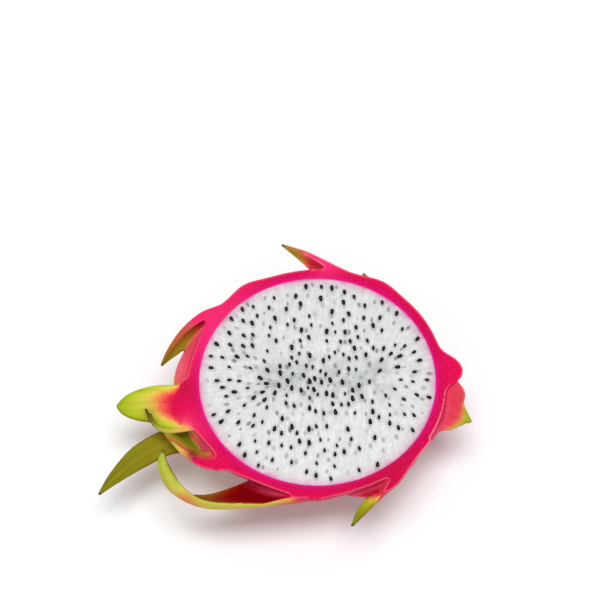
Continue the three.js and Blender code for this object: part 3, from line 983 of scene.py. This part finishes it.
def seed_places(count, draw_from, taken=()):
    """Places, sizes and turns of seeds, kept apart from each other and from those already taken."""
    draw = drawer(draw_from)
    places = []
    while len(places) < count:
        at = np.array([(2 * next(draw) - 1) * FLESH[0], (2 * next(draw) - 1) * FLESH[1]])
        size = SEED_SIZES[0] + (SEED_SIZES[1] - SEED_SIZES[0]) * next(draw)
        sway = SEED_SWAY * (2 * next(draw) - 1)
        out = math.hypot(*(at / (FLESH[:2] - SEED_BORDER)))
        clear = SEED_SPACING[0] + (SEED_SPACING[1] - SEED_SPACING[0]) * out
        if next(draw) > 1 - (1 - SEED_THINNING) * out:
            continue
        if out > 1 or any(math.dist(at, other) < clear for other, *_ in places):
            continue
        if any(math.dist(at, other) < clear / 2 for other, *_ in taken):
            continue
        away = at - nearest_core(at)
        places.append((at, size, math.atan2(away[1], away[0]) + sway))
    return places


seeds_met = seed_places(SEED_COUNT, SEED_DRAW)
seeds_deep = seed_places(DEEP_COUNT, DEEP_DRAW, seeds_met)
print(len(seeds_met), "seeds in the cut and", len(seeds_deep), "deeper ones")

# %% [markdown]
# ## The flesh
# The flesh fills the peel: half an egg with a flat top. Its flat face gets a fine grid of vertices, because
# the shadows of the deeper seeds and the halos round the others are stored on them. A square grid is pressed
# into an oval, and its rim is then extruded down the egg, ring by ring, to a pole.

# %% A flat oval face, extruded down to the back
GRID_STEP = 0.45
RINGS = 18
MERGED = 0.002  # vertices closer than this become one, as at the pole

only(peel)
columns, rows = (int(2 * half / GRID_STEP) for half in FLESH[:2])
bpy.ops.mesh.primitive_grid_add(x_subdivisions=columns, y_subdivisions=rows, size=2)
flesh = added("flesh")
flat = vertices_of(flesh)[:, :2]
square_to_round = np.abs(flat).max(axis=1) / np.maximum(np.linalg.norm(flat, axis=1), 1e-9)
disc = flat * square_to_round[:, None] * FLESH[:2]
set_vertices(flesh, np.column_stack([disc, np.zeros(len(disc))]))

edit(flesh)
bpy.ops.mesh.region_to_loop()
for _ in range(RINGS):
    bpy.ops.mesh.extrude_region_move(TRANSFORM_OT_translate={"value": (0, 0, -1)})
bpy.ops.object.mode_set(mode="OBJECT")

points = vertices_of(flesh)
turns = -np.round(points[:, 2]) / RINGS * math.pi / 2
points[:, :2] *= np.cos(turns)[:, None]
points[:, 2] = -FLESH[2] * np.sin(turns)
set_vertices(flesh, placed(points))
edit(flesh)
bpy.ops.mesh.remove_doubles(threshold=MERGED * MM)
bpy.ops.mesh.normals_make_consistent(inside=False)
bpy.ops.object.mode_set(mode="OBJECT")
print("The flesh has", len(flesh.data.polygons), "faces")

# %% [markdown]
# ## Shadows, halos and dimples
# Cut flesh is a little see-through. A seed just below the face shows as a soft grey spot, and round a seed in
# the face the flesh looks darker and sinks a little. Both are found from the distance to the seeds, measured
# in seed sizes, so the spots are as long and as turned as the seeds.

# %% Mark the seeds on the flesh
DIMPLE = 0.16
SEED_REACH = 4.0  # no seed shows further off than this
UNMARKED = 9.0  # stands for no seed nearby
SHADE_DRAW = 977
FAINTEST = 0.3


def seed_distance(places, spots):
    """For each spot the distance from the nearest seed, 1 at its outline, and which seed it is."""
    best = np.full(len(spots), UNMARKED)
    which = np.zeros(len(spots), dtype=int)
    for number, (at, size, angle) in enumerate(places):
        away = spots - at
        close = np.nonzero(np.abs(away).max(axis=1) < SEED_REACH)[0]
        along = away[close] @ (math.cos(angle), math.sin(angle)) / (SEED_LENGTH / 2 * size)
        across = away[close] @ (-math.sin(angle), math.cos(angle)) / (SEED_WIDTH / 2 * size)
        measure = np.hypot(along, across)
        nearer = measure < best[close]
        best[close[nearer]] = measure[nearer]
        which[close[nearer]] = number
    return best, which


spots = from_cut_face(flesh)
top = spots[:, 2] > -0.01
to_met, _ = seed_distance(seeds_met, spots[:, :2])
to_deep, which_deep = seed_distance(seeds_deep, spots[:, :2])
shades = drawer(SHADE_DRAW)
how_dark = np.array([FAINTEST + (1 - FAINTEST) * next(shades) for _ in seeds_deep])
marks = {
    "halo": (1 - smoothstep(0.9, 2.0, to_met)) * top,
    "shadow": (1 - smoothstep(0.4, 1.3, to_deep)) * how_dark[which_deep] * top,
}
set_attributes(flesh, marks)
off_the_rim = np.hypot(*(spots[:, :2] / FLESH[:2]).T) < 0.97
spots[:, 2] -= (1 - smoothstep(1.0, 1.9, to_met)) * DIMPLE * off_the_rim * top
set_vertices(flesh, placed(spots))
only(flesh)
bpy.ops.object.shade_smooth_by_angle(angle=math.radians(40))
print(len(seeds_met), "halos and", len(seeds_deep), "shadows")

# %% [markdown]
# ## Fruit flesh
# Cut dragon fruit flesh is moist, nearly white and full of fine fibres that run out from the core, where it
# has soft grey smudges. Where it meets the peel, the peel's dye has crept in for a few millimetres. Light
# goes a little way in and comes out again, which softens everything, so the shader has some subsurface
# scattering. The real fibres are a few tenths of a millimetre wide. Those would be too fine to see, so they
# are drawn up to a millimetre wide.

# %% Fibres that run out from the core
FIBRES_ROUND = 42  # how often the pattern changes in a turn of one radian
FIBRE_LENGTH, FIBRE_WIDTH = 7, 0.9
FAR_BELOW = 100  # deeper than the flesh: the core is a slab that reaches down from the cut

material = new_material("dragon_fruit_flesh_moist")
spot = add("TexCoord", output="Object")
from_middle = add("VectorMath", (spot, placed((0, 0, 0))), operation="SUBTRACT")
core = add("VectorMath", (from_middle, np.append(CORE_FROM, -FAR_BELOW) * MM), operation="MAXIMUM")
core = add("VectorMath", (core, np.append(CORE_TO, 0) * MM), operation="MINIMUM")
away = add("VectorMath", (from_middle, core), operation="SUBTRACT")
heading = add("VectorMath", (away,), operation="NORMALIZE")
distance = add("VectorMath", (away,), "Value", operation="LENGTH")
# Round the core's ends the fibres are told apart by their heading, and along it by where they leave it.
place = add("CombineXYZ", {"Z": add("Math", (distance, 1 / (FIBRE_LENGTH * MM)), operation="MULTIPLY")})
place = add("VectorMath", (heading, (FIBRES_ROUND, FIBRES_ROUND, 0), place), operation="MULTIPLY_ADD")
fibre_place = add("VectorMath", (core, (1 / (FIBRE_WIDTH * MM), 0, 0), place), operation="MULTIPLY_ADD")
fibres = add("TexNoise", {"Vector": fibre_place, "Scale": 1.0, "Detail": 3, "Roughness": 0.6})
mottle = add("TexNoise", {"Vector": spot, "Scale": 1 / (2.2 * MM), "Detail": 4, "Roughness": 0.65})
count_nodes("the fibres")

# %% Greys, halos and shadows
SMUDGE_REACH = 10  # how far from the core, in millimetres

halo, shadow = (add("Attribute", output="Fac", attribute_name=name) for name in marks)
fibre_share = add("MapRange", (fibres, 0.44, 0.68, 0, 0.65))
near_core = add("MapRange", (distance, SMUDGE_REACH * MM, 0, 0, 1))
smudges = add("TexNoise", {"Vector": spot, "Scale": 1 / (4.5 * MM), "Detail": 4, "Roughness": 0.6})
smudge_share = add("Math", (near_core, add("MapRange", (smudges, 0.4, 0.68, 0.1, 1.0))), operation="MULTIPLY")
halo_share = add("Math", (halo, 0.36), operation="MULTIPLY")
pulp = add("ValToRGB", (mottle,), stops=[(0.3, "#bfc0c0"), (0.5, "#cacbca"), (0.7, "#d8d9d7")])
for share, grey in (
    (fibre_share, "#b2b4b5"), (smudge_share, "#8e9398"), (halo_share, "#a4a8ab"), (shadow, "#50565d"),
):
    pulp = add("Mix", {0: share, 6: pulp, 7: linear(grey)}, **COLOUR)
count_nodes("the greys")

# %% The pink that creeps in from the peel
oval = add("VectorMath", (from_middle, 1 / (FLESH * MM)), operation="MULTIPLY")
rim_place = add("VectorMath", (oval,), "Value", operation="LENGTH")
uneven_rim = add("TexNoise", {"Vector": spot, "Scale": 1 / (6 * MM), "Detail": 3})
rim_shift = add("MapRange", (uneven_rim, 0, 1, -0.03, 0.03))
rim_place = add("MapRange", (add("Math", (rim_place, rim_shift), operation="ADD"), 0.9, 1.0, 0, 1))
dye = add("ValToRGB", (rim_place,), stops=[
    (0.0, "#ffffff"), (0.45, "#fceef4"), (0.8, "#fbcce2"), (1.0, "#f272b8"),
])
pulp = add("Mix", {0: 1.0, 6: pulp, 7: dye}, **COLOUR, blend_type="MULTIPLY")
count_nodes("the dye")

# %% The flesh's shader
relief = add("Math", (fibres, mottle), operation="ADD")
uneven = add("Bump", {"Strength": 0.35, "Distance": 0.15 * MM, "Height": relief})
shader = add("BsdfPrincipled", {
    "Base Color": pulp,
    "Roughness": 0.32,
    "IOR": 1.38,
    "Normal": uneven,
    "Subsurface Weight": 0.25,
    "Subsurface Radius": (1.0, 1.0, 1.0),
    "Subsurface Scale": 0.8 * MM,
})
add("OutputMaterial", (shader,))
give_material(flesh)

# %% [markdown]
# ## The seeds
# A seed is an oval, blunt at one end and drawn out towards the core at the other. It is modelled once as a
# small ball with few faces, because it is repeated hundreds of times, and each copy is then laid in its
# place, half sunk.

# %% One seed, copied to every place
SEED_PROUD, SEED_THICK = 0.38, 1.3
SEED_SEGMENTS, SEED_RINGS = 8, 6
TAPER = 0.22

seed = ball("seed", SEED_SEGMENTS, SEED_RINGS)
shape = vertices_of(seed)
shape[:, 1:] *= 1 + TAPER * shape[:, :1]
shape *= (SEED_LENGTH / 2, SEED_WIDTH / 2, SEED_THICK / 2)

seeds = []
for at, size, angle in seeds_met:
    only(seed)
    bpy.ops.object.duplicate()
    copy = added(f"seed_{len(seeds) + 1}")
    cosine, sine = math.cos(angle), math.sin(angle)
    turned = shape * size
    turned[:, :2] = turned[:, :2] @ [[cosine, sine], [-sine, cosine]]
    set_vertices(copy, placed(turned + (*at, (SEED_PROUD - SEED_THICK / 2) * size)))
    seeds.append(copy)
remove(seed)

only(seeds[0])
for copy in seeds:
    copy.select_set(True)
bpy.ops.object.join()
seeds = added("seeds")
bpy.ops.object.shade_smooth()
print("The seeds have", len(seeds.data.polygons), "faces together")

# %% [markdown]
# ## Seed coat
# The coat of a dragon fruit seed is hard, smooth and black, and it is wet here. So the finish is nearly black
# with a sharp shine, and a faint blue-grey film where the flesh clings to it.

# %% Wet black seed coat
material = new_material("dragon_fruit_seed_coat_wet")
spot = add("TexCoord", output="Object")
film = add("TexNoise", {"Vector": spot, "Scale": 1 / (1.2 * MM), "Detail": 2})
coat = add("ValToRGB", (film,), stops=[(0.35, "#060608"), (0.6, "#0e0f12"), (0.75, "#22262c")])
shader = add("BsdfPrincipled", {
    "Base Color": coat,
    "Roughness": 0.27,
    "IOR": 1.45,
    "Specular IOR Level": 0.22,
})
add("OutputMaterial", (shader,))
give_material(seeds)

# %% [markdown]
# ## Tie the pieces to the frame
# Each piece rides on the one body of this part and stands for the CAD node that it is a finer copy of.

# %% Ride and replace
for piece in (peel, flesh, seeds):
    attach(piece, "root")
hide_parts("peel")
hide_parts("flesh")
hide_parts("flesh")
print("Tied to the frame:", peel.name, flesh.name, seeds.name)

# %% [markdown]
# ## The table, the light and the camera
# The half lies on a pale matt board, nearly white and a little cool, in soft white light from all round. Two
# wide suns stand almost straight above, one to each side, so the shadow is soft and stays close under the
# fruit. The lens is long, and it looks down on the cut face.

# %% Floor
bpy.ops.object.select_all(action="DESELECT")
bpy.ops.mesh.primitive_plane_add(size=6)
floor = added("floor")
material = new_material("pale_matt_board")
add("OutputMaterial", (add("BsdfPrincipled", {"Base Color": linear("#f5fafa"), "Roughness": 0.9}),))
give_material(floor)

# %% Lights
LIGHT_ALL_ROUND = 0.45
SUN_STRENGTH, SUN_WIDTH = 1.06, 18

world = bpy.data.worlds.new("studio")
bpy.context.scene.world = world
world.use_nodes = True
sky = world.node_tree.nodes["Background"].inputs
sky["Color"].default_value = linear("#ffffff")
sky["Strength"].default_value = LIGHT_ALL_ROUND
for name, from_side in (("left_light", -1), ("right_light", 1)):
    bpy.ops.object.light_add(type="SUN", location=(from_side, 0.6, 1))
    light = bpy.context.active_object
    light.name = name
    light.data.energy = SUN_STRENGTH
    light.data.angle = math.radians(SUN_WIDTH)
    light.rotation_euler = Vector((-0.12 * from_side, -0.12, -1)).to_track_quat("-Z", "Y").to_euler()
    print(name, "is", SUN_WIDTH, "degrees wide")

# %% Camera
CAMERA_PLACE = (-0.00725, -0.1773, 0.87909)
CAMERA_TILT = 14.3  # degrees from straight down
LENS, SENSOR = 122.4, 36

bpy.ops.object.camera_add(location=CAMERA_PLACE, rotation=(math.radians(CAMERA_TILT), 0, 0))
camera = bpy.context.active_object
camera.data.lens = LENS
camera.data.sensor_width = SENSOR
bpy.context.scene.camera = camera
bpy.context.scene.view_settings.view_transform = "Standard"
print("The lens is", LENS, "mm long")
